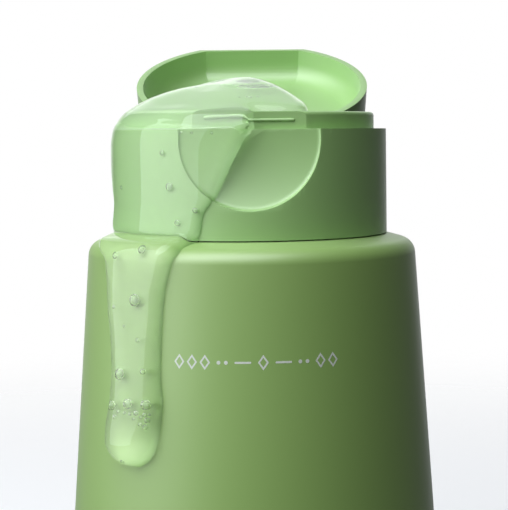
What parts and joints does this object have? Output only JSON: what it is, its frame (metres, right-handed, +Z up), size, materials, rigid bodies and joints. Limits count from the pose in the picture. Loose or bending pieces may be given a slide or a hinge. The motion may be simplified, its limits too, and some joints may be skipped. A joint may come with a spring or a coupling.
{
  "type": "flip-top squeeze bottle",
  "caption": "Squeeze bottle with a flip-top closure, its lid open on a living hinge, and clear gel cleanser welling from the spout and running down the front.",
  "frame": {"origin": "centre of the ring that the bottle stands on, on the ground plane", "axes": "+Z up the bottle's axis through the spout, -Y towards the front with the thumb recess, +Y towards the hinge"},
  "size_m": [0.0506, 0.0741, 0.0986],
  "materials": {
    "green_plastic": "satin",
    "clear_gel": "wet, glossy",
    "gel_inside": "wet, glossy"
  },
  "bodies": {
    "bottle_body": {"bottle": "green_plastic", "cap_base": "green_plastic", "hinge_web": "green_plastic", "cleanser_mound": "clear_gel", "cleanser_run": "clear_gel", "cleanser_fill": "gel_inside"},
    "lid_body": {"lid": "green_plastic"}
  },
  "joints": [
    {"name": "lid_hinge", "type": "hinge", "parent": "bottle_body", "child": "lid_body", "pos_m": [0, 0.01715, 0.08613], "axis": [-1, 0, 0], "range_deg": [-157, 20], "deforming": ["hinge_web", "cleanser_mound"]}
  ]
}
